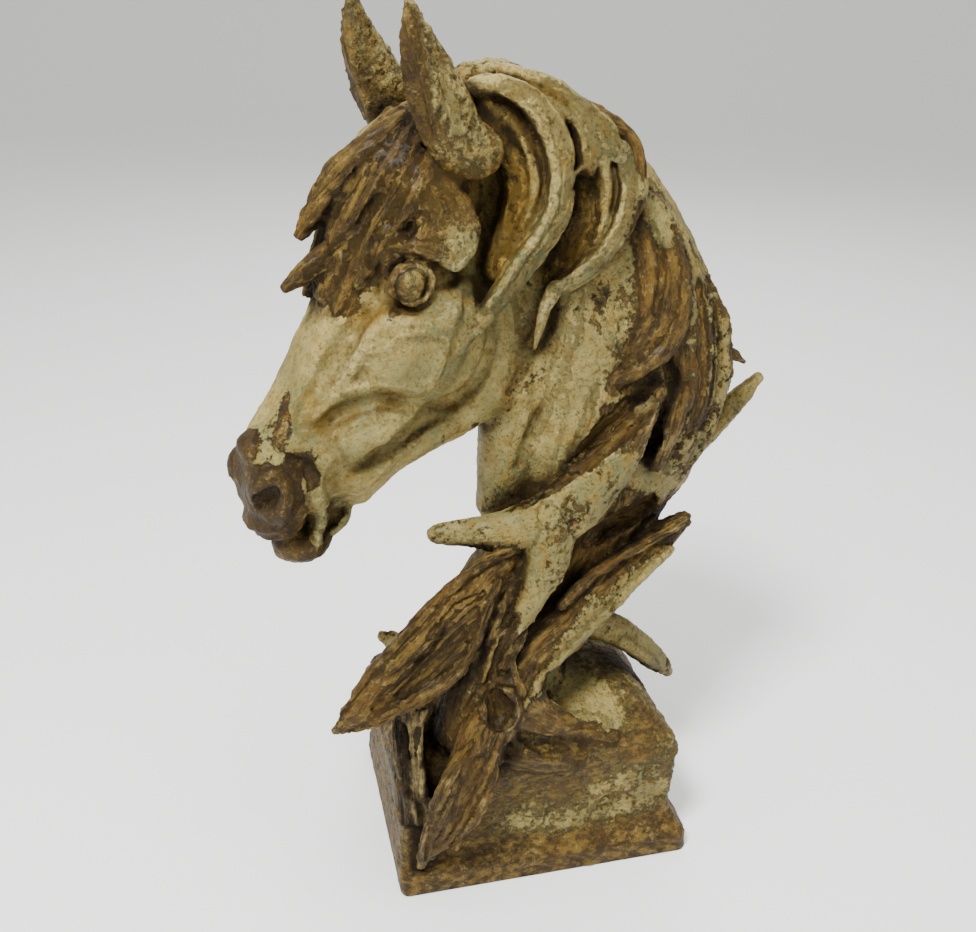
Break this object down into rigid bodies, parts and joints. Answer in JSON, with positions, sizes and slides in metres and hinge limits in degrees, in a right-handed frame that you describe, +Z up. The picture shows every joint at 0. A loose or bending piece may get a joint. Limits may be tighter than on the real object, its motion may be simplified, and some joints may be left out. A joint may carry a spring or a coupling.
{
  "type": "horse head sculpture",
  "caption": "Tabletop bust of a horse's head and neck rising out of crossing driftwood limbs on a square plinth, cast in one piece with a peeling painted finish.",
  "frame": {"origin": "middle of the plinth's flat underside", "axes": "+Z up, the horse looks along -X with its head turned a little toward -Y"},
  "size_m": [0.2748, 0.1402, 0.429],
  "materials": {
    "weathered_casting": "hand-painted cast resin: peeling cream plaster over brown driftwood bark, ochre stain in the hollows, thin satin varnish"
  },
  "bodies": {
    "root": {"horse_head_sculpture": "weathered_casting"}
  },
  "joints": []
}
